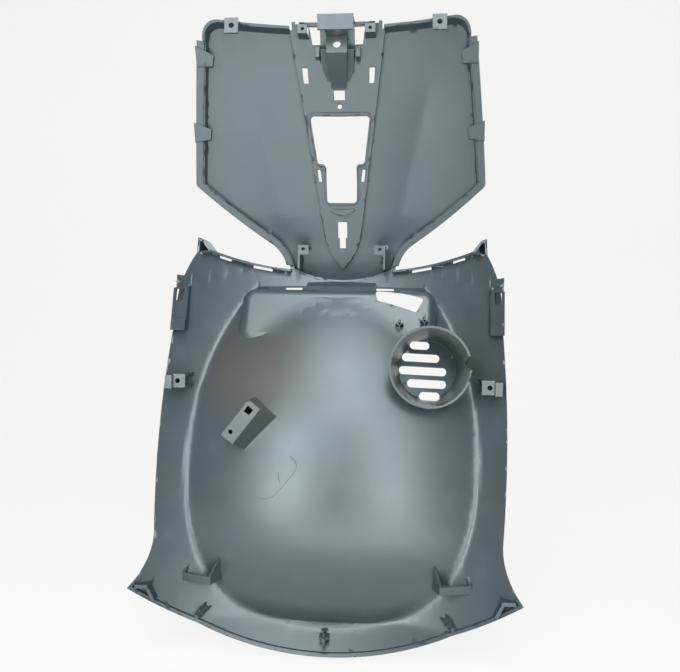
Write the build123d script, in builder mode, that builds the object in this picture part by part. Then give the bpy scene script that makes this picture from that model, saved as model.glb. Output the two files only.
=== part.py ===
from build123d import *
from math import asin, cos, radians, sin, sqrt
import os

# A scooter leg shield, moulded in one piece, seen by the rider from the -Y side. Sizes are in mm.
# The origin is the middle of the frame bolt hole in the hump at the top, +Z is up and +Y is forward.

WALL = 2.5
REACH = 400  # far enough for a prism or a cut to pass the whole shield
FOOT = 40  # depth that fittings run to before they are trimmed inside the skin

# Upper panel: part of a ring surface, leaning back to the rider as it goes up
NECK_Z = -225
PANEL_RING_CENTRE = (-905, -615)  # depth and height of the ring's axis, which runs across the shield
PANEL_RING_RADIUS = 1114
PANEL_REACH_X = 200
PANEL_SAG = 51  # how far the panel comes to the rider at that distance from the middle
PANEL_START_ANGLE = 13
PANEL_SWEEP = 30
PANEL_TOP_Z = 16
PANEL_CORNER_RADIUS = 17
PANEL_SIDE = [(138, -4), (145.5, -52), (156, -137)]
PANEL_DIAGONAL = [(156, -137), (110, -173.5), (81.5, -193)]
NECK = (61, -228)
NECK_LOW_Z = -242

# Rim of the upper panel: a wall to the rider with an outward lip on the sides and diagonals
TOP_RIM_HEIGHT = 15
SIDE_RIM_HEIGHT = 14
LIP_WIDTH = 6
LIP_TOP_Z = -3

# Spine strip, raised to the rider along the middle of the upper panel
STRIP_RISE = 6
STRIP_TOP = (49, 23)
STRIP_EDGE = [(57.4, 63), (22, -185), (0, -225)]

# Lower panel: a trough across, leaning back to the rider as it goes down
FLANGE_TOP_DEPTH = 127
FLANGE_LEAN = 0.33
FLANGE_RADIUS = 321
FLANGE_REACH_X = 230
FLANGE_START = 77.5  # how far above the neck the trough begins before it is trimmed
FLANGE_LENGTH = 620
RAIL_EDGE = [NECK, (105, -222), (151, -209)]
EAR_BASE_OUT = (168, -212)
BELLY_SIDES = [
    [(168, -212), (178.5, -242), (182, -290)],
    [(182, -290), (184.5, -400), (178, -515)],
    [(178, -515), (182, -541), (194, -562)],
]
BOTTOM_Z = -632

# Dome of the lower panel, bulging to the rider inside an oval crease
OVAL_Z = -422
OVAL_HALF_WIDTH = 157
OVAL_UP = 222
OVAL_DOWN = 188
OVAL_DOWN_POWER = 2.6
DOME_TOP_HEIGHT = 22
DOME_HEIGHT = 30
DOME_STATIONS = (-250, -290, -340, -400, -460, -520, -560, -590, -625)
DOME_LEAST_HALF_WIDTH = 55
DOME_OVERRUN = 1.2  # how far the dome's arcs run on behind the flange, as a share of their half width

# Scoop pad across the top of the dome, with a vent along its upper edge
PAD_HALF_WIDTH = 110
PAD_TOP_Z = -257
PAD_LOW_Z = -316
PAD_DEPTH = 74
PAD_LEAN = 0.42
PAD_CORNER_RADIUS = 16
PAD_EDGE_RADIUS = 9
BRIDGE_HALF_WIDTH = 41

# Skirt: a cone that lifts the bottom edge to the rider
SKIRT_CENTRE_Z = -342
SKIRT_RADIUS = 290
SKIRT_EDGE_DEPTH = -26

# Frame bolt and hump at the top of the strip
BOLT_RADIUS = 4.25
BOLT_PAD_THICKNESS = 6
HUMP_HALF_WIDTH = 8.5
HUMP_TOE_HALF_WIDTH = 5
HUMP_CHEEK = [(18, -4), (16.5, -20), (8, -37)]
HUMP_CHEEK_DEPTH = 5
HUMP_TOP_Z = 20.5
HUMP_PAD_LOW_Z = -9.5
HUMP_TOE_Z = -36
HUMP_CAP_DEPTH = -20
HUMP_CAP_LOW_Z = 7
HUMP_CAP_HALF_WIDTH = 19
HUMP_TOE_DEPTH = 41

# Tabs of the upper panel
TOP_TAB_X = (99, 113.5)
TOP_TAB_DEPTH = -29
TOP_TAB_Z = (1.5, 17)
TAB_HOLE_RADIUS = 2.6
NECK_TAB_X = (39, 52)
NECK_TAB_DEPTH = 99
NECK_TAB_Z = (-211.5, -200)
NECK_TAB_LEG_Z = -228
NECK_HOLE_Z = -204.75
NECK_HOLE_RADIUS = 2
CORNER_BOSS_X = (30, 41)
CORNER_BOSS_DEPTH = -10
CORNER_BOSS_Z = (7.5, 17)
BOSS_HOLE_RADIUS = 1.8
HOOK_X = (19.5, 24)
HOOK_DEPTH = 10
HOOK_Z = (-10, 1)
UPPER_CLIP = [(146, -8), (129, -14.5), (131.5, -24), (147, -26)]
MIDDLE_CLIP = [(157, -77), (140, -82), (142, -92), (158, -96)]

# Openings in the spine strip
SIDE_SLOT = [(18.5, 3), (18.5, 18.5), (29.7, 18.5), (27, 3)]
EDGE_NOTCH = [(40, 20), (44, 20), (44, 30), (40, 30)]
NARROW_SLOT = [(33.8, -16.5), (39.5, -16.5), (38.6, -31), (33.4, -31)]
WINDOW = [(-6, -36.5), (6, -36.5), (6, -46), (-6, -46)]
SMALL_HOLE_Z = -52
SMALL_HOLE_RADIUS = 2.5
KEYHOLE_HALF = [(33.7, -61), (27, -109.5), (17.7, -109.5), (17.7, -150.5)]
KEYHOLE_RADIUS = 4
KEYHOLE_LIP = 2
SMALL_SLOT = [(24.5, -114.5), (28, -114.5), (26.4, -127.5), (23, -127.5)]
T_SLOT_HALF = [(5.4, -171), (5.4, -189), (3.7, -189), (3.7, -201)]
CRESCENT = [(-15.5, -157), (0, -164.5), (15.5, -157), (0, -158)]
CRESCENT_HEIGHT = 1.5

# Rails, ears, clips and tabs round the lower panel
RAIL_HEIGHT = 8
RAIL_SLOTS = [
    [(144.5, -214.3), (131.2, -218.3), (131.2, -221), (144.5, -217)],
    [(106.5, -224.3), (84, -228), (84, -231), (106.5, -227.3)],
]
EAR = [(150, -211), (161.5, -196), (167.8, -194), (169, -215)]
EAR_POCKET = [(154.5, -210), (162.4, -199.5), (165.4, -198.5), (166.3, -212)]
EAR_DEPTH = (80, 112)
SPIKE = [(176, -241), (185.2, -240), (184.2, -257), (175, -257)]
SIDE_CLIP = [(170, -253), (184.2, -256), (183, -304), (168.5, -304)]
SIDE_CLIP_WALL = [(168.5, -304), (171, -304), (172.5, -253), (170, -253)]
SIDE_CLIP_POCKET = [(173.5, -255.5), (181.5, -257), (181.5, -270), (174, -270)]
SIDE_CLIP_PAD = [(169, -291), (181, -291.5), (181, -304), (169, -304)]
SIDE_CLIP_HEIGHT = 10
SIDE_TAB_X = (157.5, 171)
SIDE_TAB_DEPTH = 3
SIDE_TAB_Z = (-366, -351)
SIDE_HOLE_X = 165.75
SIDE_FOOT = 50
SIDE_POST_X = (171, 178.5)
SIDE_POST_DEPTH = -1
SIDE_POST_Z = (-367, -352.5)

# Vent along the upper edge of the scoop pad, opened further on the right
VENT_X = (43, 63)
VENT_DEPTH = (78, 101)
INTAKE_TOP = [(42, -255.5), (70, -257.5), (97.5, -263.5)]
INTAKE_LOW = [(89, -279.5), (68, -272.5), (45, -266.5)]

# Horn collar and its grille
COLLAR_CENTRE = (103.6, -6, -338)
COLLAR_RADIUS = 43
COLLAR_BASE_RADIUS = 27
COLLAR_LENGTH = 75
COLLAR_NOTCH = [(-14, -322), (-14, -343), (12, -334)]
COLLAR_NOTCH_X = (135, 152)
GRILLE = [(82.5, 104, -316.5), (74, 115, -330), (71, 122.5, -344), (80, 122, -357.5), (93, 115, -370.3)]
GRILLE_HALF_HEIGHT = 4.3
GRILLE_START_DEPTH = 5
GRILLE_TILT = -2.5
COLLAR_POSTS = [(70.7, -292.5), (98, -289)]
COLLAR_POST_DEPTH = 46
COLLAR_POST_RADIUS = 2.2
COLLAR_POST_FIN = 9
COLLAR_POST_TIP = 3
COLLAR_POST_HOLE = 1.2
COLLAR_POST_HOLE_DEPTH = 8
COLLAR_POST_FOOT = 80

# Box bracket on the dome, drawn in its own section and run along its length
BOX_START = (-82.5, 0, -374.7)
BOX_ACROSS = (0.792, 0, -0.611)
BOX_ALONG = (-0.611, 0, -0.792)
BOX_LENGTH = 47
BOX_SECTION = [(0, -40), (0, 22), (15.5, 22), (36, -8), (36, -40)]
BOX_HOLLOW = [(2.5, -60), (2.5, 19.5), (14.2, 19.5), (33, -9), (33, -60)]
BOX_SQUARE_HOLE = (-82.5, -386, 7)
BOX_ROUND_HOLE = (-101, -408.5, 2.3)

# Shelf brackets, posts and corner ledges near the bottom
SHELF_BASE = (123.7, -6, -545)
SHELF_AXIS = (0.316, -0.949, 0)
SHELF_ACROSS = (0.949, 0.316, 0)
SHELF_HALF_WIDTH = 17
SHELF_HEIGHT = 26
SHELF_LOW = -18
SHELF_LIP_TOP = -10
SHELF_PEAK = 12
SHELF_ROOT = -30
POST_BASE = (122.8, -19, -590.3)
POST_AXIS = (0.33, -0.9, -0.28)
POST_HEIGHT = 20
POST_RADIUS = 2.3
POST_FIN = 10
POST_RIB = 1.6
LEANING_POST_RIB = 1.5
POST_FIN_SHARE = 0.7  # how far up a leaning post its fins reach
MIDDLE_POST_TIP = 5
MIDDLE_POST_Z = -616
MIDDLE_POST_DEPTH = -30
LEDGE = [(174, -559.5), (187.5, -559.5), (187.5, -563), (174, -563)]
LEDGE_RIB = [(175, -562), (178.5, -562), (171, -577), (168, -575.5)]
LEDGE_DEPTH = -57
EDGE_LIP_WIDTH = 3
EDGE_LIP_HEIGHT = 3
EDGE_LIP_TOP_Z = -558


def panel_depth(z):
    """Depth of the upper panel's middle line at a height."""
    angle = asin((z - PANEL_RING_CENTRE[1]) / PANEL_RING_RADIUS)
    return PANEL_RING_CENTRE[0] + PANEL_RING_RADIUS * cos(angle)


def flange_depth(z):
    return FLANGE_TOP_DEPTH - FLANGE_LEAN * (NECK_Z - z)


def pad_depth(z):
    return PAD_DEPTH - PAD_LEAN * (PAD_TOP_Z - z)


def sag(radius, x):
    return radius - sqrt(radius**2 - x**2)


def oval_half_width(z):
    if z > OVAL_Z:
        return OVAL_HALF_WIDTH * sqrt(1 - ((z - OVAL_Z) / OVAL_UP) ** 2)
    down = min((OVAL_Z - z) / OVAL_DOWN, 1)
    half_width = OVAL_HALF_WIDTH * (1 - down**OVAL_DOWN_POWER) ** (1 / OVAL_DOWN_POWER)
    return max(half_width, DOME_LEAST_HALF_WIDTH)


def dome_rise(z):
    if z > OVAL_Z:
        up = (z - OVAL_Z) / (PAD_TOP_Z - OVAL_Z)
        return DOME_HEIGHT - (DOME_HEIGHT - DOME_TOP_HEIGHT) * up**2
    down = (OVAL_Z - z) / OVAL_DOWN
    return DOME_HEIGHT * (1 - down**OVAL_DOWN_POWER)


def panel_room(low, high):
    """The room between two heights above the front of the upper panel."""
    centre = (0, *PANEL_RING_CENTRE)
    start = radians(PANEL_START_ANGLE)
    with BuildPart() as room:
        with BuildSketch(Plane(origin=centre, x_dir=(1, 0, 0), z_dir=(0, -sin(start), cos(start)))):
            with BuildLine():
                ends = []
                for lift in (low, high):
                    middle = PANEL_RING_RADIUS - lift
                    edge = middle - PANEL_SAG
                    Bezier((-PANEL_REACH_X, edge), (0, 2 * middle - edge), (PANEL_REACH_X, edge))
                    ends.append(edge)
                for x in (-PANEL_REACH_X, PANEL_REACH_X):
                    Line((x, ends[0]), (x, ends[1]))
            make_face()
        revolve(axis=Axis(centre, (1, 0, 0)), revolution_arc=PANEL_SWEEP)
    return room.part


def flange_plane():
    """The plane across the lower panel's trough, above its upper end."""
    top = (0, flange_depth(NECK_Z), NECK_Z)
    return Plane(origin=top, x_dir=(1, 0, 0), z_dir=(0, FLANGE_LEAN, 1)).offset(FLANGE_START)


def flange_room(low, high):
    """The room between two heights above the front of the lower panel's trough."""
    with BuildPart() as room:
        with BuildSketch(flange_plane()):
            with BuildLine():
                ends = []
                for lift in (low, high):
                    edge = -lift - sag(FLANGE_RADIUS - lift, FLANGE_REACH_X)
                    ThreePointArc((-FLANGE_REACH_X, edge), (0, -lift), (FLANGE_REACH_X, edge))
                    ends.append(edge)
                for x in (-FLANGE_REACH_X, FLANGE_REACH_X):
                    Line((x, ends[0]), (x, ends[1]))
            make_face()
        extrude(amount=-FLANGE_LENGTH)
    return room.part


def flange_space(lift):
    """All the room in front of the lower panel's trough, its rider side raised by lift."""
    edge = -lift - sag(FLANGE_RADIUS - lift, FLANGE_REACH_X)
    with BuildPart() as space:
        with BuildSketch(flange_plane()):
            with BuildLine():
                ThreePointArc((-FLANGE_REACH_X, edge), (0, -lift), (FLANGE_REACH_X, edge))
                side = FLANGE_REACH_X
                Polyline((side, edge), (side, REACH), (-side, REACH), (-side, edge))
            make_face()
        extrude(amount=-FLANGE_LENGTH)
    return space.part


def dome_space(lift):
    """All the room in front of the dome: arcs whose ends dip below the flange past the oval crease."""
    with BuildPart() as space:
        for z in DOME_STATIONS:
            crease_x = oval_half_width(z)
            crease_y = flange_depth(z) - sag(FLANGE_RADIUS, crease_x) - lift
            rise = dome_rise(z)
            end_x = crease_x * DOME_OVERRUN
            end_y = crease_y - rise + rise * DOME_OVERRUN**2
            with BuildSketch(Plane.XY.offset(z)):
                with BuildLine():
                    ThreePointArc((-end_x, end_y), (0, crease_y - rise), (end_x, end_y))
                    Polyline((end_x, end_y), (end_x, REACH), (-end_x, REACH), (-end_x, end_y))
                make_face()
        loft()
    return space.part


def pad_space(lift):
    """All the room in front of the scoop pad, a flat bridge with rounded ends."""
    half = PAD_HALF_WIDTH + lift
    with BuildPart() as space:
        with BuildSketch(Plane.YZ.offset(-half)):
            with BuildLine():
                top = PAD_TOP_Z + lift
                near_top = pad_depth(top) - lift
                near_low = pad_depth(PAD_LOW_Z - lift) - lift
                low = PAD_LOW_Z - lift
                Polyline((near_low, low), (near_top, top), (REACH, top), (REACH, low), close=True)
            make_face()
        extrude(amount=2 * half)
        fillet(space.edges().filter_by(Axis.Y), PAD_CORNER_RADIUS)
        fillet(space.faces().sort_by(Axis.Y)[0].edges(), PAD_EDGE_RADIUS + lift)
    return space.part


def skirt_space(lift):
    """All the room outside and in front of the skirt cone."""
    axis_plane = Plane(origin=(0, 0, SKIRT_CENTRE_Z), x_dir=(1, 0, 0), z_dir=(0, 0, 1))
    with BuildPart() as space:
        with BuildSketch(axis_plane):
            with BuildLine():
                rim = SKIRT_RADIUS - lift
                Polyline(
                    (rim - 60, SKIRT_EDGE_DEPTH + 60),
                    (rim + 60, SKIRT_EDGE_DEPTH - 60),
                    (rim + 60, REACH),
                    (rim - 60, REACH),
                    close=True,
                )
            make_face()
        revolve(axis=Axis((0, 0, SKIRT_CENTRE_Z), (0, 1, 0)), revolution_arc=360)
    return space.part


def upper_prism(grow):
    with BuildPart() as prism:
        with BuildSketch(Plane.XZ):
            with BuildLine():
                corner_start = (PANEL_SIDE[0][0] - PANEL_CORNER_RADIUS, PANEL_TOP_Z)
                Polyline((0, STRIP_TOP[1]), STRIP_TOP, (STRIP_TOP[0], PANEL_TOP_Z), corner_start)
                RadiusArc(corner_start, PANEL_SIDE[0], PANEL_CORNER_RADIUS + 1)
                ThreePointArc(*PANEL_SIDE)
                diagonal = ThreePointArc(*PANEL_DIAGONAL)
                TangentArc(PANEL_DIAGONAL[-1], NECK, tangent=diagonal % 1)
                mirror(about=Plane.YZ)
                ThreePointArc(NECK, (0, NECK_LOW_Z), (-NECK[0], NECK[1]))
            make_face()
            if grow:
                offset(amount=grow)
        extrude(amount=REACH, both=True)
    return prism.part


def strip_prism(grow):
    with BuildPart() as prism:
        with BuildSketch(Plane.XZ):
            with BuildLine():
                Line((0, STRIP_EDGE[0][1]), STRIP_EDGE[0])
                side = Line(STRIP_EDGE[0], STRIP_EDGE[1])
                TangentArc(STRIP_EDGE[1], STRIP_EDGE[2], tangent=side % 1)
                mirror(about=Plane.YZ)
            make_face()
            if grow:
                offset(amount=grow)
        extrude(amount=REACH, both=True)
    return prism.part


def lower_prism(grow):
    with BuildPart() as prism:
        with BuildSketch(Plane.XZ):
            with BuildLine():
                ThreePointArc(*RAIL_EDGE)
                Line(RAIL_EDGE[-1], EAR_BASE_OUT)
                for points in BELLY_SIDES:
                    ThreePointArc(*points)
                mirror(about=Plane.YZ)
                corner = BELLY_SIDES[-1][-1]
                ThreePointArc(corner, (0, BOTTOM_Z), (-corner[0], corner[1]))
                ThreePointArc(NECK, (0, NECK_LOW_Z), (-NECK[0], NECK[1]))
            make_face()
            if grow:
                offset(amount=grow)
        extrude(amount=REACH, both=True)
    return prism.part


def lower_space(lift):
    """All the room in front of the flange, dome, scoop pad and skirt."""
    with BuildPart() as space:
        add(flange_space(lift))
        add(dome_space(lift))
        add(pad_space(lift))
        add(skirt_space(lift))
        add(lower_prism(0), mode=Mode.INTERSECT)
    return space.part


def block(x_range, y_range, z_range, mode=Mode.ADD):
    """A box between two values on each axis."""
    spans = (x_range, y_range, z_range)
    with Locations(tuple(sum(span) / 2 for span in spans)):
        Box(*(abs(span[1] - span[0]) for span in spans), mode=mode)


def plate_xz(points, y_range, mode=Mode.ADD):
    """A plate with its outline in X and Z, between two depths."""
    with BuildSketch(Plane.XZ.offset(-y_range[0])) as outline:
        with BuildLine():
            Polyline(*points, close=True)
        make_face()
    extrude(outline.sketch, amount=y_range[0] - y_range[1], mode=mode)


def plate_yz(points, x_range, mode=Mode.ADD):
    """A plate with its outline in Y and Z, between two places across."""
    with BuildSketch(Plane.YZ.offset(x_range[0])) as outline:
        with BuildLine():
            Polyline(*points, close=True)
        make_face()
    extrude(outline.sketch, amount=x_range[1] - x_range[0], mode=mode)


def pin(x, z, radius, y_range, mode=Mode.ADD):
    """A round pin or hole along Y."""
    with BuildSketch(Plane.XZ.offset(-y_range[0])) as circle:
        with Locations((x, z)):
            Circle(radius)
    extrude(circle.sketch, amount=y_range[0] - y_range[1], mode=mode)


def mirrored(points):
    return [(-x, z) for x, z in points]


def both_halves(points):
    return points + mirrored(points)[::-1]


def between(prism, room, low, high):
    """The piece of a prism that stands between two heights above a skin."""
    with BuildPart() as piece:
        add(prism)
        add(room(low, high), mode=Mode.INTERSECT)
    return piece.part


def standing(points, room, low, high):
    """A plate with an outline in X and Z that follows a skin, on both sides of the shield."""
    with BuildPart() as prism:
        plate_xz(points, (-REACH, REACH))
        plate_xz(mirrored(points), (-REACH, REACH))
    return between(prism.part, room, low, high)


def band(outline, inner, outer, x_range, z_range):
    """A strip along an outline, kept where it lies in the given ranges, on both sides."""
    with BuildPart() as keep:
        block(x_range, (-REACH, REACH), z_range)
        mirror(about=Plane.YZ)
    with BuildPart() as strip:
        add(outline(outer))
        add(outline(inner), mode=Mode.SUBTRACT)
        add(keep.part, mode=Mode.INTERSECT)
    return strip.part


def hump_prism(grow):
    half = [
        (HUMP_HALF_WIDTH + grow, HUMP_TOP_Z + grow),
        (HUMP_HALF_WIDTH + grow, HUMP_PAD_LOW_Z),
        (HUMP_TOE_HALF_WIDTH + grow, HUMP_TOE_Z - grow),
    ]
    with BuildPart() as prism:
        plate_xz(both_halves(half), (-REACH, REACH))
    return prism.part


def hump_solid():
    """The hump as the rider sees it: cap, bolt pad and a slope down to the strip."""
    with BuildPart() as hump:
        profile = [
            (REACH, HUMP_TOP_Z + WALL),
            (HUMP_CAP_DEPTH, HUMP_TOP_Z + WALL),
            (HUMP_CAP_DEPTH, HUMP_CAP_LOW_Z),
            (0, HUMP_CAP_LOW_Z),
            (0, HUMP_PAD_LOW_Z),
            (HUMP_TOE_DEPTH, HUMP_TOE_Z - WALL),
            (REACH, HUMP_TOE_Z - WALL),
        ]
        plate_yz(profile, (-HUMP_CAP_HALF_WIDTH, HUMP_CAP_HALF_WIDTH))
        add(hump_prism(WALL), mode=Mode.INTERSECT)
        cap_x = (-HUMP_CAP_HALF_WIDTH, HUMP_CAP_HALF_WIDTH)
        block(cap_x, (HUMP_CAP_DEPTH, HUMP_CAP_DEPTH + WALL), (HUMP_CAP_LOW_Z, HUMP_TOP_Z + WALL))
        block(cap_x, (HUMP_CAP_DEPTH, panel_depth(HUMP_TOP_Z)), (HUMP_TOP_Z, HUMP_TOP_Z + WALL))
    return hump.part


def hump_cheeks():
    """Low shoulders on both sides of the hump, running out towards its toe."""
    low_z = HUMP_CHEEK[-1][1]
    with BuildPart() as cheeks:
        top_z = HUMP_CHEEK[0][1]
        profile = [(REACH, top_z), (HUMP_CHEEK_DEPTH, top_z), (HUMP_TOE_DEPTH, low_z), (REACH, low_z)]
        plate_yz(profile, (-HUMP_CAP_HALF_WIDTH, HUMP_CAP_HALF_WIDTH))
        plate_xz(both_halves(HUMP_CHEEK), (-REACH, REACH), Mode.INTERSECT)
    return cheeks.part


def hump_hollow():
    """The pocket behind the hump, open at the front of the shield."""
    with BuildPart() as hollow:
        profile = [
            (REACH, HUMP_TOP_Z),
            (HUMP_CAP_DEPTH + WALL, HUMP_TOP_Z),
            (HUMP_CAP_DEPTH + WALL, HUMP_CAP_LOW_Z + WALL),
            (BOLT_PAD_THICKNESS, HUMP_CAP_LOW_Z + WALL),
            (BOLT_PAD_THICKNESS, HUMP_PAD_LOW_Z + WALL / 2),
            (HUMP_TOE_DEPTH + WALL, HUMP_TOE_Z + WALL / 2),
            (REACH, HUMP_TOE_Z + WALL / 2),
        ]
        plate_yz(profile, (-HUMP_CAP_HALF_WIDTH, HUMP_CAP_HALF_WIDTH))
        add(hump_prism(0), mode=Mode.INTERSECT)
    return hollow.part


def upper_tabs():
    """Clip tabs, neck tabs, corner bosses and hooks, on both sides."""
    with BuildPart() as tabs:
        tab_back = (TOP_TAB_DEPTH, TOP_TAB_DEPTH + WALL)
        block(TOP_TAB_X, tab_back, TOP_TAB_Z)
        block(TOP_TAB_X, (TOP_TAB_DEPTH, WALL), (TOP_TAB_Z[1] - WALL, TOP_TAB_Z[1]))
        pin(sum(TOP_TAB_X) / 2, sum(TOP_TAB_Z) / 2, TAB_HOLE_RADIUS, tab_back, Mode.SUBTRACT)
        neck_back = (NECK_TAB_DEPTH, panel_depth(NECK_Z))
        leg = (NECK_TAB_X[1] - WALL, NECK_TAB_X[1])
        block(NECK_TAB_X, (NECK_TAB_DEPTH, NECK_TAB_DEPTH + WALL), NECK_TAB_Z)
        block(NECK_TAB_X, neck_back, (NECK_TAB_Z[1] - WALL, NECK_TAB_Z[1]))
        block(leg, neck_back, (NECK_TAB_LEG_Z, NECK_TAB_Z[1]))
        neck_hole = (NECK_TAB_DEPTH, NECK_TAB_DEPTH + WALL)
        pin(sum(NECK_TAB_X) / 2, NECK_HOLE_Z, NECK_HOLE_RADIUS, neck_hole, Mode.SUBTRACT)
        block(CORNER_BOSS_X, (CORNER_BOSS_DEPTH, FOOT), CORNER_BOSS_Z)
        block(HOOK_X, (HOOK_DEPTH, FOOT), HOOK_Z)
        mirror(about=Plane.YZ)
    return tabs.part


def upper_cuts():
    """Everything that is open through the spine strip."""
    through = (-REACH, REACH)
    with BuildPart() as cuts:
        for points in (SIDE_SLOT, EDGE_NOTCH, NARROW_SLOT, SMALL_SLOT):
            plate_xz(points, through)
            plate_xz(mirrored(points), through)
        plate_xz(WINDOW, through)
        plate_xz(both_halves(T_SLOT_HALF), through)
        pin(0, SMALL_HOLE_Z, SMALL_HOLE_RADIUS, through)
        boss_x = sum(CORNER_BOSS_X) / 2
        boss_z = sum(CORNER_BOSS_Z) / 2
        for side in (-1, 1):
            pin(side * boss_x, boss_z, BOSS_HOLE_RADIUS, through)
    return cuts.part


def keyhole_prism(grow, y_range):
    with BuildPart() as prism:
        with BuildSketch(Plane.XZ.offset(-y_range[0])) as sketch:
            with BuildLine():
                Polyline(*both_halves(KEYHOLE_HALF), close=True)
            make_face()
            fillet(sketch.vertices(), KEYHOLE_RADIUS)
            if grow:
                offset(amount=grow)
        extrude(amount=y_range[0] - y_range[1])
    return prism.part


def crescent_prism():
    """The raised crescent on the spine strip, under the keyhole."""
    start, low, end, high = CRESCENT
    with BuildPart() as prism:
        with BuildSketch(Plane.XZ) as outline:
            with BuildLine():
                ThreePointArc(start, low, end)
                ThreePointArc(start, high, end)
            make_face()
        extrude(outline.sketch, amount=REACH, both=True)
    return prism.part


def collar_tube():
    """The horn collar, narrowing towards the dome and long enough to reach it all round."""
    with BuildPart() as tube:
        with Locations(Plane(origin=COLLAR_CENTRE, z_dir=(0, 1, 0))):
            to_rim = (Align.CENTER, Align.CENTER, Align.MIN)
            Cone(COLLAR_RADIUS, COLLAR_BASE_RADIUS, COLLAR_LENGTH, align=to_rim)
            inner = (COLLAR_RADIUS - WALL, COLLAR_BASE_RADIUS - WALL)
            Cone(*inner, COLLAR_LENGTH, align=to_rim, mode=Mode.SUBTRACT)
        plate_yz(COLLAR_NOTCH, COLLAR_NOTCH_X, Mode.SUBTRACT)
    return tube.part


def finned_post(x, z, radius, fin, depth, fin_depth, foot):
    """A round post along Y with four fins that stop short of its tip."""
    rib = (-POST_RIB / 2, POST_RIB / 2)
    wide = (-fin / 2, fin / 2)
    pin(x, z, radius, (depth, foot))
    for span_x, span_z in ((wide, rib), (rib, wide)):
        block((x + span_x[0], x + span_x[1]), (fin_depth, foot), (z + span_z[0], z + span_z[1]))


def collar_posts():
    """Two hollow posts beside the collar."""
    tip = COLLAR_POST_DEPTH
    fin_depth = tip + COLLAR_POST_TIP
    with BuildPart() as posts:
        for x, z in COLLAR_POSTS:
            finned_post(x, z, COLLAR_POST_RADIUS, COLLAR_POST_FIN, tip, fin_depth, COLLAR_POST_FOOT)
            pin(x, z, COLLAR_POST_HOLE, (tip, tip + COLLAR_POST_HOLE_DEPTH), Mode.SUBTRACT)
    return posts.part


def grille_cuts():
    """Round-ended slots through the dome inside the collar."""
    with BuildPart() as cuts:
        with BuildSketch(Plane.XZ.offset(-GRILLE_START_DEPTH)) as slots:
            for left, right, z in GRILLE:
                with Locations(((left + right) / 2, z)):
                    SlotOverall(right - left, 2 * GRILLE_HALF_HEIGHT, rotation=GRILLE_TILT)
        extrude(slots.sketch, amount=-REACH)
    return cuts.part


def intake_cut():
    """The crescent opening in the right half of the scoop pad."""
    with BuildPart() as cut:
        with BuildSketch(Plane.XZ.offset(REACH)) as outline:
            with BuildLine():
                ThreePointArc(*INTAKE_TOP)
                Line(INTAKE_TOP[-1], INTAKE_LOW[0])
                ThreePointArc(*INTAKE_LOW)
                Line(INTAKE_LOW[-1], INTAKE_TOP[0])
            make_face()
            fillet(outline.vertices(), WALL)
        extrude(outline.sketch, amount=-REACH - VENT_DEPTH[1])
    return cut.part


def box_run(section, start, end):
    """A section of the box bracket run along its length between two places."""
    with BuildPart() as run:
        with BuildSketch(Plane(origin=BOX_START, x_dir=BOX_ACROSS, z_dir=BOX_ALONG).offset(start)):
            with BuildLine():
                Polyline(*section, close=True)
            make_face()
        extrude(amount=end - start)
    return run.part


def box_bracket():
    """The hollow box on the dome with a square and a round hole in its top."""
    outside = box_run(BOX_SECTION, 0, BOX_LENGTH)
    inside = box_run(BOX_HOLLOW, WALL, BOX_LENGTH - WALL)
    square_x, square_z, square = BOX_SQUARE_HOLE
    with BuildPart() as bracket:
        add(outside)
        add(inside, mode=Mode.SUBTRACT)
        with Locations(Plane(origin=(square_x, 0, square_z), x_dir=BOX_ACROSS, z_dir=(0, -1, 0))):
            Box(square, square, REACH, mode=Mode.SUBTRACT)
        pin(*BOX_ROUND_HOLE, (-REACH, -WALL), Mode.SUBTRACT)
    return bracket.part


def shelf_brackets():
    """A shelf with a lip and two gussets, leaning out from the dome, on both sides."""
    frame = Plane(origin=SHELF_BASE, x_dir=SHELF_ACROSS, z_dir=SHELF_AXIS)
    width = 2 * SHELF_HALF_WIDTH
    reach = SHELF_HEIGHT - SHELF_ROOT
    with BuildPart() as shelves:
        with Locations(frame):
            with Locations((0, SHELF_LOW + WALL / 2, (SHELF_HEIGHT + SHELF_ROOT) / 2)):
                Box(width, WALL, reach)
            with Locations((0, (SHELF_LOW + SHELF_LIP_TOP) / 2, SHELF_HEIGHT - WALL / 2)):
                Box(width, SHELF_LIP_TOP - SHELF_LOW, WALL)
        for place in (-SHELF_HALF_WIDTH, SHELF_HALF_WIDTH - WALL):
            corner = frame.from_local_coords((place, 0, 0))
            with BuildSketch(Plane(origin=corner, x_dir=SHELF_AXIS, z_dir=SHELF_ACROSS)):
                with BuildLine():
                    Polyline(
                        (SHELF_HEIGHT, -SHELF_LIP_TOP),
                        (SHELF_HEIGHT, -SHELF_LOW),
                        (SHELF_ROOT, -SHELF_LOW),
                        (SHELF_ROOT, -SHELF_PEAK),
                        (0, -SHELF_PEAK),
                        close=True,
                    )
                make_face()
            extrude(amount=WALL)
        mirror(about=Plane.YZ)
    return shelves.part


def posts():
    """Finned posts: one each side and one in the middle of the bottom edge."""
    with BuildPart() as pins:
        with Locations(Plane(origin=POST_BASE, z_dir=POST_AXIS)):
            Cylinder(POST_RADIUS, 2 * POST_HEIGHT)
            Box(POST_FIN, LEANING_POST_RIB, 2 * POST_FIN_SHARE * POST_HEIGHT)
            Box(LEANING_POST_RIB, POST_FIN, 2 * POST_FIN_SHARE * POST_HEIGHT)
        mirror(about=Plane.YZ)
        fin_depth = MIDDLE_POST_DEPTH + MIDDLE_POST_TIP
        finned_post(0, MIDDLE_POST_Z, POST_RADIUS, POST_FIN, MIDDLE_POST_DEPTH, fin_depth, FOOT)
    return pins.part


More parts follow.
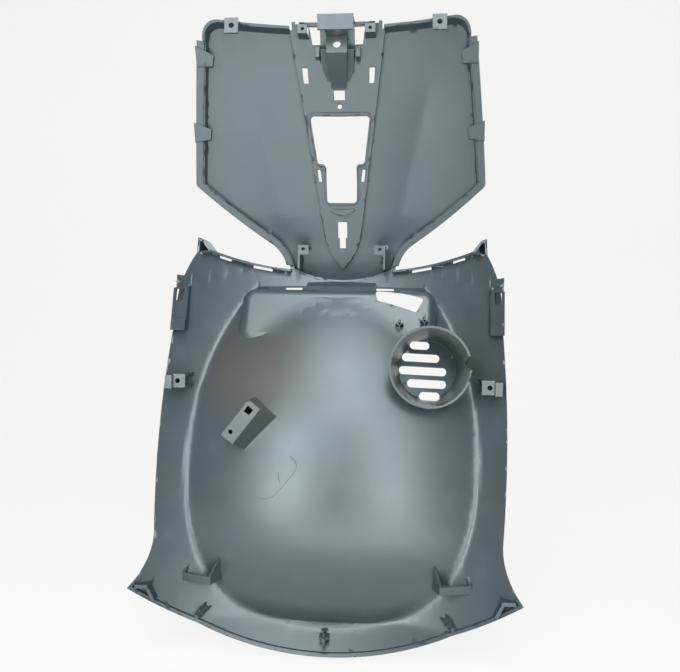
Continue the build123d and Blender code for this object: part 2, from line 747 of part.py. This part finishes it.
def side_tabs():
    """Screw tabs on the sides, each a plate on two walls beside a taller hollow post."""
    with BuildPart() as tabs:
        block(SIDE_TAB_X, (SIDE_TAB_DEPTH, SIDE_TAB_DEPTH + WALL), SIDE_TAB_Z)
        for z in (SIDE_TAB_Z[0], SIDE_TAB_Z[1] - WALL):
            block(SIDE_TAB_X, (SIDE_TAB_DEPTH, SIDE_FOOT), (z, z + WALL))
        block(SIDE_POST_X, (SIDE_POST_DEPTH, SIDE_FOOT), SIDE_POST_Z)
        plate_y = (SIDE_TAB_DEPTH, SIDE_TAB_DEPTH + WALL)
        pin(SIDE_HOLE_X, sum(SIDE_TAB_Z) / 2, TAB_HOLE_RADIUS, plate_y, Mode.SUBTRACT)
        mirror(about=Plane.YZ)
    return tabs.part


def ears_and_ledges():
    with BuildPart() as pieces:
        plate_xz(EAR, EAR_DEPTH)
        plate_xz(EAR_POCKET, (EAR_DEPTH[0] - WALL, EAR_DEPTH[1] - WALL), Mode.SUBTRACT)
        plate_xz(LEDGE, (LEDGE_DEPTH, 0))
        plate_xz(LEDGE_RIB, (LEDGE_DEPTH + 4, 0))
        mirror(about=Plane.YZ)
    return pieces.part


def bridge_slope(drop):
    """Outline in Y and Z of the slope from the neck to the scoop pad, lowered by drop."""
    neck_near = flange_depth(NECK_LOW_Z) - WALL
    pad_near = PAD_DEPTH + PAD_EDGE_RADIUS
    top = [(neck_near + drop, NECK_LOW_Z - drop), (pad_near, PAD_TOP_Z + WALL - drop)]
    return top + [(REACH, PAD_TOP_Z + WALL - drop), (REACH, NECK_LOW_Z - drop)]


def upper_panel():
    """The upper skin with its raised spine strip, open behind the strip."""
    behind_strip = between(strip_prism(-WALL), panel_room, -WALL, STRIP_RISE)
    with BuildPart() as panel:
        add(panel_room(WALL / 2, STRIP_RISE + WALL))
        add(strip_prism(0), mode=Mode.INTERSECT)
        add(panel_room(0, WALL))
        add(upper_prism(-WALL / 2), mode=Mode.INTERSECT)
        add(behind_strip, mode=Mode.SUBTRACT)
    return panel.part


def upper_rim():
    """The wall round the upper panel: high along the top, lower with an outward lip on the sides."""
    sides_z = (NECK_Z + WALL, LIP_TOP_Z)
    top_x = (STRIP_TOP[0] + WALL / 4, REACH)
    side_band = band(upper_prism, -WALL, 0, (0, REACH), sides_z)
    lip_band = band(upper_prism, -WALL / 2, LIP_WIDTH, (0, REACH), sides_z)
    top_band = band(upper_prism, -WALL, 0, top_x, (LIP_TOP_Z, REACH))
    side_wall = between(side_band, panel_room, WALL / 2, SIDE_RIM_HEIGHT - WALL / 2)
    side_lip = between(lip_band, panel_room, SIDE_RIM_HEIGHT - WALL, SIDE_RIM_HEIGHT)
    top_wall = between(top_band, panel_room, WALL / 2, TOP_RIM_HEIGHT)
    with BuildPart() as rim:
        add(top_wall)
        add(side_wall)
        add(side_lip)
    return rim.part


def upper_fittings():
    """Hump, tabs, bosses and hooks, ending inside the skin that they stand on."""
    tabs = upper_tabs()
    hump = hump_solid()
    cheeks = hump_cheeks()
    in_front = between(upper_prism(WALL), panel_room, -2 * REACH, WALL / 2)
    in_strip = between(strip_prism(-WALL / 2), panel_room, -2 * REACH, STRIP_RISE + WALL / 2)
    with BuildPart() as fittings:
        add(tabs)
        add(hump)
        add(cheeks)
        add(in_front, mode=Mode.SUBTRACT)
        add(in_strip, mode=Mode.SUBTRACT)
    return fittings.part


def lower_fittings():
    """Everything that stands on the lower panel, ending inside its skin."""
    rail_x = (NECK[0], EAR[1][0])
    rail_band = band(lower_prism, -WALL, 0, rail_x, (RAIL_EDGE[0][1] - 2 * WALL, REACH))
    pieces = [
        between(rail_band, flange_room, WALL / 2, RAIL_HEIGHT + WALL),
        standing(SPIKE, flange_room, WALL / 4, WALL),
        standing(SIDE_CLIP, flange_room, SIDE_CLIP_HEIGHT - WALL, SIDE_CLIP_HEIGHT),
        standing(SIDE_CLIP_WALL, flange_room, WALL / 2, SIDE_CLIP_HEIGHT - WALL / 2),
        standing(SIDE_CLIP_PAD, flange_room, SIDE_CLIP_HEIGHT - WALL / 2, SIDE_CLIP_HEIGHT + WALL),
        side_tabs(),
        collar_tube(),
        collar_posts(),
        box_bracket(),
        shelf_brackets(),
        posts(),
        ears_and_ledges(),
    ]
    edge_band = band(lower_prism, -EDGE_LIP_WIDTH, 0, (0, REACH), (BOTTOM_Z, EDGE_LIP_TOP_Z))
    with BuildPart() as edge_lip:
        add(edge_band)
        add(lower_space(WALL + EDGE_LIP_HEIGHT), mode=Mode.INTERSECT)
    pieces.append(edge_lip.part)
    clip_pockets = standing(SIDE_CLIP_POCKET, flange_room, WALL, 2 * SIDE_CLIP_HEIGHT)
    in_front = lower_space(WALL / 2)
    with BuildPart() as fittings:
        for piece in pieces:
            add(piece)
        add(clip_pockets, mode=Mode.SUBTRACT)
        plate_yz(bridge_slope(0), (-BRIDGE_HALF_WIDTH, BRIDGE_HALF_WIDTH))
        add(in_front, mode=Mode.SUBTRACT)
    return fittings.part


def neck_step():
    """The wall that joins the two panels across the neck."""
    wall_z = (NECK_LOW_Z - 2 * WALL, NECK_Z + WALL)
    wall = band(upper_prism, -WALL, WALL, (0, NECK[0] + 2 * WALL), wall_z)
    in_front = flange_space(WALL / 2)
    behind = panel_room(WALL / 2, FOOT)
    with BuildPart() as step:
        add(wall)
        add(in_front, mode=Mode.INTERSECT)
        add(behind, mode=Mode.INTERSECT)
    return step.part


through = (-REACH, REACH)
clip_height = (SIDE_RIM_HEIGHT - WALL, SIDE_RIM_HEIGHT + WALL / 2)
lip_height = (STRIP_RISE + WALL / 2, STRIP_RISE + WALL + KEYHOLE_LIP)
upper_pieces = [
    upper_panel(),
    upper_rim(),
    upper_fittings(),
    standing(UPPER_CLIP, panel_room, *clip_height),
    standing(MIDDLE_CLIP, panel_room, *clip_height),
    between(keyhole_prism(KEYHOLE_LIP, through), panel_room, *lip_height),
    between(crescent_prism(), panel_room, STRIP_RISE + WALL / 2, STRIP_RISE + WALL + CRESCENT_HEIGHT),
]
upper_openings = [hump_hollow(), upper_cuts(), keyhole_prism(0, through)]

with BuildPart() as upper_half:
    for piece in upper_pieces:
        add(piece)
    for opening in upper_openings:
        add(opening, mode=Mode.SUBTRACT)
    pin(0, 0, BOLT_RADIUS, (-WALL, 2 * BOLT_PAD_THICKNESS), Mode.SUBTRACT)

lower_front = lower_space(0)
lower_skin = lower_space(WALL)
lower_parts = lower_fittings()
grille = grille_cuts()
intake = intake_cut()

with BuildPart() as lower_half:
    add(lower_skin)
    add(lower_front, mode=Mode.SUBTRACT)
    add(lower_parts)
    plate_yz(bridge_slope(WALL), (WALL - BRIDGE_HALF_WIDTH, BRIDGE_HALF_WIDTH - WALL), Mode.SUBTRACT)
    add(grille, mode=Mode.SUBTRACT)
    for points in RAIL_SLOTS:
        plate_xz(points, through, Mode.SUBTRACT)
        plate_xz(mirrored(points), through, Mode.SUBTRACT)
    for side in (1, -1):
        vent_x = (side * VENT_X[0], side * VENT_X[1])
        block(vent_x, VENT_DEPTH, (PAD_TOP_Z - WALL / 2, PAD_TOP_Z + 2 * WALL), Mode.SUBTRACT)
    add(intake, mode=Mode.SUBTRACT)

neck = neck_step()

with BuildPart() as leg_shield:
    add(upper_half.part)
    add(neck)
    add(lower_half.part)

os.makedirs("parts", exist_ok=True)
leg_shield.part.label = "leg_shield"
export_step(leg_shield.part, "parts/leg_shield.step")
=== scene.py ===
import bmesh
import bpy
import math
from mathutils import Matrix, Vector


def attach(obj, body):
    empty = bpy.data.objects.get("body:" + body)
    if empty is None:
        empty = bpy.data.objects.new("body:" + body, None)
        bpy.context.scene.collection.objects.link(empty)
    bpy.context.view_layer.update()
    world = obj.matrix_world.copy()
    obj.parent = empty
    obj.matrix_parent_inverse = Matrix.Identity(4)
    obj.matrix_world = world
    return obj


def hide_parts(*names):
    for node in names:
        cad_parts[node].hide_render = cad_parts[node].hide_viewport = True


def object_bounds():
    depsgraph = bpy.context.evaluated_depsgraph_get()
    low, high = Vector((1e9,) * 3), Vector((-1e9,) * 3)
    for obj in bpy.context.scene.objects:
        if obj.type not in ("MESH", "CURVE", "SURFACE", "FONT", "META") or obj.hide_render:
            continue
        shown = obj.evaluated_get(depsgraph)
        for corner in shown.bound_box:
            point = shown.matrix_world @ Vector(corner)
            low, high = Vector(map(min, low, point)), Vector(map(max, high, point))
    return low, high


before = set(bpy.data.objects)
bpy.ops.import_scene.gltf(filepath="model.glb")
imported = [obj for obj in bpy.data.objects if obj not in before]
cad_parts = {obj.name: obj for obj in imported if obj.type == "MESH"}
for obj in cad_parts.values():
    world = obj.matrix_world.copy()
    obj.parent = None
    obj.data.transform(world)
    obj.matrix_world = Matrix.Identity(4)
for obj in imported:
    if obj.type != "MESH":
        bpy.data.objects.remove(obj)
cad_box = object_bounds()

# Sizes are in metres, in the frame of the CAD: -Y is the rider's side, +Z is up
CELL = 0.005
SLIVER = 0.0002
DOUBLES = 1e-6
SHARP_ANGLE = math.radians(24)
FLOOR_Z = -0.637
WALL_Y = 2.2
SWEEP_RADIUS = 1.2
STAGE_HALF_WIDTH = 16.0
STAGE_NEAR_Y = -6.0
STAGE_TOP_Z = 5.0
SWEEP_STEPS = 12
STAGE_GLOW = 0.88
CAMERA_PLACE = (0.0788, -0.78458, -0.3074)
CAMERA_YAW = math.radians(5.08)
CAMERA_ROLL = math.radians(1.04)
CAMERA_LENS = 39.7
SENSOR_WIDTH = 36.0

# The forms of the two skins, in mm as in the CAD
SKIN = 2.5
PANEL_AXIS = (-905.0, -615.0)
PANEL_RADIUS = 1114.0
PANEL_SAG = 51.0 / 200.0**2
STRIP_LEVELS = (6.0, 8.5)
NECK_Z = -225.0
FLANGE_DEPTH = 127.0
FLANGE_LEAN = 0.33
FLANGE_RADIUS = 321.0
OVAL_Z = -422.0
OVAL_HALF_WIDTH = 157.0
OVAL_UP = 222.0
OVAL_DOWN = 188.0
OVAL_POWER = 2.6
DOME_LEAST = 55.0
DOME_TOP_Z = -250.0
DOME_HEIGHT = 30.0
DOME_TOP_HEIGHT = 22.0
DOME_OVERRUN = 1.2
PAD_TOP_Z = -257.0
PAD_DEPTH = 74.0
PAD_LEAN = 0.42
PAD_FACE_X = 98.0
PAD_FACE_Z = (-306.0, -264.0)
SKIRT_Z = -342.0
SKIRT_RADIUS = 290.0
SKIRT_DEPTH = -26.0
VALLEY = 3.6
FAR = 1000.0
SKIN_REACH = 0.35
FILLED = 0.02
DOME_END_X = 112.0
DOME_END_Z = -586.0
DOME_END_RADIUS = 272.0
DOME_END_REACH = 7.0

# Soft folds of the two wings
FOLD_TOP = (100.0, -27.0)
FOLD_LOW = (72.0, -157.0)
FOLD_HEIGHT = 4.2
FOLD_WIDTH = 30.0
FOLD_ROUND = 4.0
FOLD_BEGINS_Z = -10.0
FOLD_GROWS = 80.0
FOLD_ENDS_Z = -200.0
FOLD_FADES = 40.0

BLUE_GREY = (0.037, 0.051, 0.060, 1)
GREEN_GREY = (0.035, 0.047, 0.050, 1)
# Lighter grey for the rubbed mottle and for the painted highlight along the edges
WORN_AND_HIGHLIGHT_GREY = (0.090, 0.108, 0.115, 1)
# Brown-grey of a painted reflection on the dome
REFLECTED_BROWN_GREY = (0.066, 0.062, 0.056, 1)
SHEEN_TINT = (0.86, 0.97, 1.0, 1)
SCRATCH_GREY = (0.020, 0.024, 0.026, 1)
PALE = (0.955, 0.96, 0.94, 1)
DIM_SIDE = (0.10, 0.105, 0.11, 1)
WORLD_LIGHT = 0.22

# The plastic's finish, with a painted brownish reflection and a painted highlight along the edges
TINT_SCALE = 5.0
MOTTLE_SCALE = 42.0
GRAIN_SCALE = 1400.0
GRAIN_DEPTH = 0.0003
GRAIN_STRENGTH = 0.10
RUBBED_SHARE = 0.22
# Place and fade of the painted brownish reflection on the dome
REFLECTION_PLACE = (-0.088, 0.03, -0.345)
REFLECTION_STOPS = [(0.02, 0.85), (0.085, 0.0)]
EDGE_RADIUS = 0.0006
# How much lighter the edges are painted, as a painted highlight
EDGE_HIGHLIGHT_SHARE = 0.55
SATIN_STOPS = [(0.3, 0.33), (0.75, 0.39)]
GLOSS = 0.95

# A faint scratch on the dome and a short stroke beside it, as points in mm
LONG_SCRATCH = (
    (-74.2, -20.4, -475.8),
    (-64.5, -22.2, -476.6),
    (-57.1, -22.8, -474.7),
    (-52.0, -22.6, -470.9),
    (-46.1, -21.6, -463.7),
    (-35.8, -19.1, -451.0),
    (-32.4, -17.8, -445.4),
    (-32.2, -16.6, -441.5),
    (-34.0, -15.2, -437.6),
    (-40.1, -13.2, -433.0),
)
SHORT_SCRATCH = ((-51.2, -17.2, -449.8), (-50.4, -19.0, -455.5), (-48.4, -20.5, -460.4))
SCRATCH_FLATTENING = (1, 0.25, 1)
SCRATCH_CORE = 0.15
SCRATCH_FADE = 0.5
SCRATCH_ROUGHNESS = 0.85

# Softboxes: place, target, width, height and power
SOFTBOXES = {
    "left_strip": ((-0.64, -1.6, 0.10), (0, 0, -0.38), 0.4, 1.2, 19),
    "right_strip": ((0.55, -1.65, 0.10), (0, 0, -0.38), 0.5, 1.3, 17),
    "upper_strip": ((0.0, -1.2, 1.1), (0, 0, -0.30), 0.9, 1.1, 22),
    "back_strip": ((0.5, 1.5, 0.9), (0, 0, -0.30), 0.9, 0.9, 9),
    "low_panel": ((0.05, -0.45, -0.63), (0, -0.1, 0.1), 0.7, 0.6, 3.6),
}


def add_node(tree, kind, **inputs):
    """A shader node with its named inputs set to plain values."""
    node = tree.nodes.new(kind)
    for name, value in inputs.items():
        node.inputs[name.replace("_", " ")].default_value = value
    return node


def math_node(tree, operation, first, second):
    node = tree.nodes.new("ShaderNodeMath")
    node.operation = operation
    for socket, value in zip(node.inputs, (first, second)):
        if isinstance(value, (int, float)):
            socket.default_value = value
        else:
            tree.links.new(value, socket)
    return node.outputs[0]


def ramp(tree, source, stops):
    """A colour ramp over a value, as (place, grey or colour) stops."""
    node = tree.nodes.new("ShaderNodeValToRGB")
    elements = node.color_ramp.elements
    while len(elements) < len(stops):
        elements.new(0.5)
    for element, (place, colour) in zip(elements, stops):
        element.position = place
        element.color = colour if isinstance(colour, tuple) else (colour, colour, colour, 1)
    tree.links.new(source, node.inputs["Fac"])
    return node.outputs["Color"]


def mix_colours(tree, factor, first, second):
    node = tree.nodes.new("ShaderNodeMix")
    node.data_type = "RGBA"
    tree.links.new(factor, node.inputs["Factor"])
    for socket, value in ((node.inputs[6], first), (node.inputs[7], second)):
        if isinstance(value, tuple):
            socket.default_value = value
        else:
            tree.links.new(value, socket)
    return node.outputs[2]


def noise(tree, place, scale, detail, rough):
    node = add_node(tree, "ShaderNodeTexNoise", Scale=scale, Detail=detail, Roughness=rough)
    tree.links.new(place, node.inputs["Vector"])
    return node.outputs["Fac"]


def vector_node(tree, operation, first, second):
    node = tree.nodes.new("ShaderNodeVectorMath")
    node.operation = operation
    for socket, value in zip(node.inputs, (first, second)):
        if isinstance(value, bpy.types.NodeSocket):
            tree.links.new(value, socket)
        else:
            socket.default_value = value
    return node.outputs["Value" if operation in ("DISTANCE", "DOT_PRODUCT") else "Vector"]


def distance_from_scratch(tree, place, points):
    """Distance in mm from a chain of straight strokes, in which depths count for less."""
    flatten = Vector(SCRATCH_FLATTENING)
    place = vector_node(tree, "MULTIPLY", place, flatten)
    points = [Vector(point) * flatten / 1000 for point in points]
    least = None
    for start, end in zip(points, points[1:]):
        stroke = end - start
        away = vector_node(tree, "SUBTRACT", place, start)
        along = vector_node(tree, "DOT_PRODUCT", away, stroke / stroke.length_squared)
        along = math_node(tree, "MINIMUM", math_node(tree, "MAXIMUM", along, 0), 1)
        off = vector_node(tree, "DISTANCE", away, vector_node(tree, "MULTIPLY", along, stroke))
        least = off if least is None else math_node(tree, "MINIMUM", least, off)
    return math_node(tree, "MULTIPLY", least, 1000)


def moulded_plastic():
    """Satin blue-grey plastic with a fine grain, faint mottling, a painted brownish reflection and a
    painted highlight along the edges.
    """
    material = bpy.data.materials.new("moulded_plastic")
    material.use_nodes = True
    tree = material.node_tree
    shader = tree.nodes["Principled BSDF"]
    place = tree.nodes.new("ShaderNodeTexCoord").outputs["Object"]

    tint = ramp(tree, noise(tree, place, TINT_SCALE, 2.0, 0.5), [(0.38, 0.0), (0.62, 1.0)])
    mottle = noise(tree, place, MOTTLE_SCALE, 6.0, 0.6)
    grain = noise(tree, place, GRAIN_SCALE, 2.0, 0.5)
    colour = mix_colours(tree, tint, GREEN_GREY, BLUE_GREY)
    rubbed = ramp(tree, mottle, [(0.52, 0.0), (0.85, RUBBED_SHARE)])
    colour = mix_colours(tree, rubbed, colour, WORN_AND_HIGHLIGHT_GREY)
    # Painted reflection: a brownish patch on the dome's left stands for dark surroundings mirrored in the
    # gloss
    painted_reflection = ramp(tree, vector_node(tree, "DISTANCE", place, REFLECTION_PLACE), REFLECTION_STOPS)
    colour = mix_colours(tree, painted_reflection, colour, REFLECTED_BROWN_GREY)
    strokes = [distance_from_scratch(tree, place, points) for points in (LONG_SCRATCH, SHORT_SCRATCH)]
    scratch = math_node(tree, "MINIMUM", *strokes)
    dark_line = ramp(tree, scratch, [(SCRATCH_CORE, 1.0), (SCRATCH_FADE, 0.0)])
    colour = mix_colours(tree, dark_line, colour, SCRATCH_GREY)

    rounded = add_node(tree, "ShaderNodeBevel", Radius=EDGE_RADIUS)
    rounded.samples = 6
    flat = tree.nodes.new("ShaderNodeNewGeometry").outputs["Normal"]
    # Painted highlight: edges are made lighter where the rounded normal turns away from the flat one
    facing = vector_node(tree, "DOT_PRODUCT", rounded.outputs["Normal"], flat)
    edge = ramp(tree, facing, [(0.86, EDGE_HIGHLIGHT_SHARE), (0.985, 0.0)])
    colour = mix_colours(tree, edge, colour, WORN_AND_HIGHLIGHT_GREY)
    tree.links.new(colour, shader.inputs["Base Color"])

    satin = ramp(tree, mottle, SATIN_STOPS)
    rough_line = ramp(tree, scratch, [(SCRATCH_CORE, SCRATCH_ROUGHNESS), (SCRATCH_FADE, 0.0)])
    rough = math_node(tree, "MAXIMUM", satin, rough_line)
    tree.links.new(rough, shader.inputs["Roughness"])
    bump = add_node(tree, "ShaderNodeBump", Strength=GRAIN_STRENGTH, Distance=GRAIN_DEPTH)
    tree.links.new(grain, bump.inputs["Height"])
    tree.links.new(rounded.outputs["Normal"], bump.inputs["Normal"])
    tree.links.new(bump.outputs["Normal"], shader.inputs["Normal"])
    shader.inputs["Specular IOR Level"].default_value = GLOSS
    shader.inputs["Specular Tint"].default_value = SHEEN_TINT
    return material


def sag(radius, x):
    return radius - math.sqrt(radius**2 - x**2)


def flange_y(x, z, lift):
    """Depth of the lower panel's trough."""
    across = lift + sag(FLANGE_RADIUS - lift, x)
    lean = math.hypot(1, FLANGE_LEAN)
    return FLANGE_DEPTH + FLANGE_LEAN * (z - NECK_Z) - across * lean


def dome_y(x, z, lift):
    """Depth of the dome that bulges to the rider inside the oval crease."""
    if z > OVAL_Z:
        crease = OVAL_HALF_WIDTH * math.sqrt(max(1 - ((z - OVAL_Z) / OVAL_UP) ** 2, 0))
        rise = DOME_HEIGHT - (DOME_HEIGHT - DOME_TOP_HEIGHT) * ((z - OVAL_Z) / (PAD_TOP_Z - OVAL_Z)) ** 2
    else:
        down = (OVAL_Z - z) / OVAL_DOWN
        crease = OVAL_HALF_WIDTH * (1 - min(down, 1) ** OVAL_POWER) ** (1 / OVAL_POWER)
        rise = DOME_HEIGHT * (1 - down**OVAL_POWER)
    crease = max(crease, DOME_LEAST)
    middle = FLANGE_DEPTH + FLANGE_LEAN * (z - NECK_Z) - sag(FLANGE_RADIUS, crease) - lift - rise
    reach = crease * DOME_OVERRUN
    drop = rise * DOME_OVERRUN**2
    if abs(x) > reach or z > DOME_TOP_Z or rise < -0.5 * DOME_HEIGHT:
        return FAR
    if abs(drop) < 0.01:
        return middle
    radius = (reach**2 + drop**2) / (2 * drop)
    return middle + radius - math.copysign(math.sqrt(radius**2 - x**2), radius)


def pad_y(x, z, lift):
    """Depth of the scoop pad's face."""
    if abs(x) > PAD_FACE_X or not PAD_FACE_Z[0] < z < PAD_FACE_Z[1]:
        return FAR
    return PAD_DEPTH - PAD_LEAN * (PAD_TOP_Z - z) - lift


def skirt_y(x, z, lift):
    """Depth of the cone that lifts the bottom edge."""
    return SKIRT_DEPTH - (math.hypot(x, z - SKIRT_Z) - (SKIRT_RADIUS - lift))


def rounded_least(first, second):
    """The nearer of two faces, with the valley between them rounded."""
    overlap = max(VALLEY - abs(first - second), 0)
    return min(first, second) - overlap**2 / (4 * VALLEY)


def lower_skin(x, z, lift):
    """The lower panel's depth with sharp and with rounded valleys."""
    if abs(x) > FLANGE_RADIUS - 2 * SKIN:
        return FAR, FAR
    faces = [face(x, z, lift) for face in (flange_y, dome_y, pad_y, skirt_y)]
    sharp = min(faces)
    soft = faces[0]
    for depth in faces[1:]:
        soft = rounded_least(soft, depth)
    return sharp, soft


def smooth_step(value):
    value = min(max(value, 0), 1)
    return value * value * (3 - 2 * value)


def wing_fold(x, z):
    """Height of the soft ridge that runs down each wing."""
    along = (FOLD_LOW[0] - FOLD_TOP[0], FOLD_LOW[1] - FOLD_TOP[1])
    off = ((abs(x) - FOLD_TOP[0]) * along[1] - (z - FOLD_TOP[1]) * along[0]) / math.hypot(*along)
    away = math.hypot(off, FOLD_ROUND) - FOLD_ROUND
    grows = smooth_step((FOLD_BEGINS_Z - z) / FOLD_GROWS) * smooth_step((z - FOLD_ENDS_Z) / FOLD_FADES)
    return FOLD_HEIGHT * grows * math.exp(-away / FOLD_WIDTH)


def upper_skin(x, y, z):
    """The upper panel's exact depth where a point lies on one of its faces, or None."""
    middle = PANEL_RADIUS - PANEL_SAG * x**2
    level = middle - math.hypot(y - PANEL_AXIS[0], z - PANEL_AXIS[1])
    for face in (0, SKIN, *STRIP_LEVELS):
        if abs(level - face) < SKIN_REACH:
            fold = wing_fold(x, z) if face <= SKIN else 0
            reach = middle - face - fold
            return PANEL_AXIS[0] + math.sqrt(reach**2 - (z - PANEL_AXIS[1]) ** 2)
    return None


def skin_depth(place, normal):
    """A skin point's smooth depth and how far its valley is filled, or None off the skin."""
    x, y, z = place
    if z > NECK_Z:
        depth = upper_skin(x, y, z)
        if depth is not None:
            return depth, 0
    near = SKIN_REACH
    from_skirt_middle = math.hypot(x, z - SKIRT_Z)
    if abs(x) < DOME_END_X and z < DOME_END_Z and from_skirt_middle < DOME_END_RADIUS:
        near = DOME_END_REACH
    sharp, soft = lower_skin(x, z, SKIN if normal.y < 0 else 0)
    return (soft, sharp - soft) if abs(y - sharp) < near else None


def cut_into_cells(shape):
    """Cuts the mesh into small cells, so that it can follow the skin's curves."""
    low, high = cad_box
    for axis in (0, 2):
        for step in range(math.ceil(low[axis] / CELL), math.floor(high[axis] / CELL) + 1):
            place, normal = Vector(), Vector()
            place[axis] = step * CELL
            normal[axis] = 1
            everything = shape.verts[:] + shape.edges[:] + shape.faces[:]
            bmesh.ops.bisect_plane(shape, geom=everything, dist=DOUBLES, plane_co=place, plane_no=normal)
    bmesh.ops.remove_doubles(shape, verts=shape.verts, dist=SLIVER)


def mark_sharp_edges(shape):
    """Keeps the CAD's corners crisp and its curves smooth."""
    for edge in shape.edges:
        edge.smooth = edge.is_manifold and edge.calc_face_angle() < SHARP_ANGLE


def soft_skin(shape):
    """Moves the skin's points to its smooth forms, with rounded valleys and the wings' folds.

    Returns the indices of the points that aren't in a rounded valley."""
    shape.normal_update()
    skin = {vert: skin_depth(vert.co * 1000, vert.normal) for vert in shape.verts}
    faces = {face for face in shape.faces if all(skin[vert] for vert in face.verts)}
    for vert in {vert for face in faces for vert in face.verts}:
        vert.co.y = skin[vert][0] / 1000
    for edge in {edge for face in faces for edge in face.edges}:
        if faces.issuperset(edge.link_faces) and all(skin[vert][1] > FILLED for vert in edge.verts):
            edge.smooth = True
    shape.verts.index_update()
    return [vert.index for vert in shape.verts if not skin[vert] or skin[vert][1] <= FILLED]


def shield_piece(material):
    """The moulding itself: the CAD shape with finer cells, rounded valleys and smooth shading."""
    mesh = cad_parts["leg_shield"].data.copy()
    mesh.name = "moulded_shield"
    shape = bmesh.new()
    shape.from_mesh(mesh)
    bmesh.ops.remove_doubles(shape, verts=shape.verts, dist=DOUBLES)
    mark_sharp_edges(shape)
    cut_into_cells(shape)
    plain_points = soft_skin(shape)
    shape.to_mesh(mesh)
    shape.free()
    mesh.materials.clear()
    mesh.materials.append(material)
    for polygon in mesh.polygons:
        polygon.use_smooth = True
    piece = bpy.data.objects.new("moulded_shield", mesh)
    bpy.context.scene.collection.objects.link(piece)
    piece.vertex_groups.new(name="plain_skin").add(plain_points, 1, "REPLACE")
    even_shading = piece.modifiers.new("even_shading", "WEIGHTED_NORMAL")
    even_shading.mode = "FACE_AREA"
    even_shading.keep_sharp = True
    even_shading.vertex_group = "plain_skin"
    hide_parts("leg_shield")
    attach(piece, "root")
    return piece


def seen_directly(tree):
    """1 for rays that show a surface itself: to the camera, in a reflection or through glass."""
    path = tree.nodes.new("ShaderNodeLightPath")
    seen = math_node(tree, "MAXIMUM", path.outputs["Is Camera Ray"], path.outputs["Is Glossy Ray"])
    return math_node(tree, "MAXIMUM", seen, path.outputs["Is Transmission Ray"])


def pale_stage():
    """A pale floor that sweeps up into a back wall."""
    material = bpy.data.materials.new("pale_stage")
    material.use_nodes = True
    tree = material.node_tree
    tree.nodes.clear()
    matt = add_node(tree, "ShaderNodeBsdfDiffuse", Color=PALE)
    glow = add_node(tree, "ShaderNodeEmission", Color=PALE, Strength=1.0)
    mix = tree.nodes.new("ShaderNodeMixShader")
    tree.links.new(math_node(tree, "MULTIPLY", seen_directly(tree), STAGE_GLOW), mix.inputs["Fac"])
    tree.links.new(matt.outputs[0], mix.inputs[1])
    tree.links.new(glow.outputs[0], mix.inputs[2])
    output = tree.nodes.new("ShaderNodeOutputMaterial")
    tree.links.new(mix.outputs[0], output.inputs["Surface"])

    profile = [(STAGE_NEAR_Y, FLOOR_Z)]
    for step in range(SWEEP_STEPS + 1):
        turn = math.radians(90) * step / SWEEP_STEPS
        profile.append((
            WALL_Y - SWEEP_RADIUS + SWEEP_RADIUS * math.sin(turn),
            FLOOR_Z + SWEEP_RADIUS - SWEEP_RADIUS * math.cos(turn),
        ))
    profile.append((WALL_Y, STAGE_TOP_Z))
    mesh = bpy.data.meshes.new("pale_stage")
    shape = bmesh.new()
    rows = [[shape.verts.new((x, y, z)) for y, z in profile] for x in (-STAGE_HALF_WIDTH, STAGE_HALF_WIDTH)]
    for a, b, c, d in zip(rows[0], rows[1], rows[1][1:], rows[0][1:]):
        shape.faces.new((a, b, c, d)).smooth = True
    shape.to_mesh(mesh)
    shape.free()
    mesh.materials.append(material)
    floor = bpy.data.objects.new("pale_stage", mesh)
    bpy.context.scene.collection.objects.link(floor)


def studio_world():
    """Dim light from a room that is pale on the backdrop's side and darker on the rider's."""
    world = bpy.data.worlds.new("studio")
    bpy.context.scene.world = world
    world.use_nodes = True
    tree = world.node_tree
    tree.nodes.clear()
    output = tree.nodes.new("ShaderNodeOutputWorld")
    direction = tree.nodes.new("ShaderNodeSeparateXYZ")
    tree.links.new(tree.nodes.new("ShaderNodeTexCoord").outputs["Generated"], direction.inputs[0])
    room = ramp(tree, direction.outputs["Y"], [(0.0, DIM_SIDE), (0.12, PALE)])
    seen = add_node(tree, "ShaderNodeBackground", Strength=1.0)
    light = add_node(tree, "ShaderNodeBackground", Strength=WORLD_LIGHT)
    for node in (seen, light):
        tree.links.new(room, node.inputs["Color"])
    mix = tree.nodes.new("ShaderNodeMixShader")
    tree.links.new(seen_directly(tree), mix.inputs["Fac"])
    tree.links.new(light.outputs[0], mix.inputs[1])
    tree.links.new(seen.outputs[0], mix.inputs[2])
    tree.links.new(mix.outputs[0], output.inputs["Surface"])


def strip_light(name, place, target, width, height, power):
    """A softbox aimed at a point on or near the shield."""
    lamp = bpy.data.lights.new(name, "AREA")
    lamp.shape = "RECTANGLE"
    lamp.size = width
    lamp.size_y = height
    lamp.energy = power
    thing = bpy.data.objects.new(name, lamp)
    thing.location = place
    thing.rotation_euler = (Vector(target) - Vector(place)).to_track_quat("-Z", "Y").to_euler()
    bpy.context.scene.collection.objects.link(thing)


def photo_camera():
    """The camera fitted to the photo's view."""
    data = bpy.data.cameras.new("camera")
    data.lens = CAMERA_LENS
    data.sensor_width = SENSOR_WIDTH
    camera = bpy.data.objects.new("camera", data)
    upright = Matrix.Rotation(CAMERA_YAW, 4, "Z") @ Matrix.Rotation(math.radians(90), 4, "X")
    camera.matrix_world = Matrix.Translation(CAMERA_PLACE) @ upright @ Matrix.Rotation(CAMERA_ROLL, 4, "Z")
    bpy.context.scene.collection.objects.link(camera)
    bpy.context.scene.camera = camera


shield_piece(moulded_plastic())
pale_stage()
studio_world()
for name, setup in SOFTBOXES.items():
    strip_light(name, *setup)
photo_camera()
bpy.context.scene.view_settings.view_transform = "Standard"
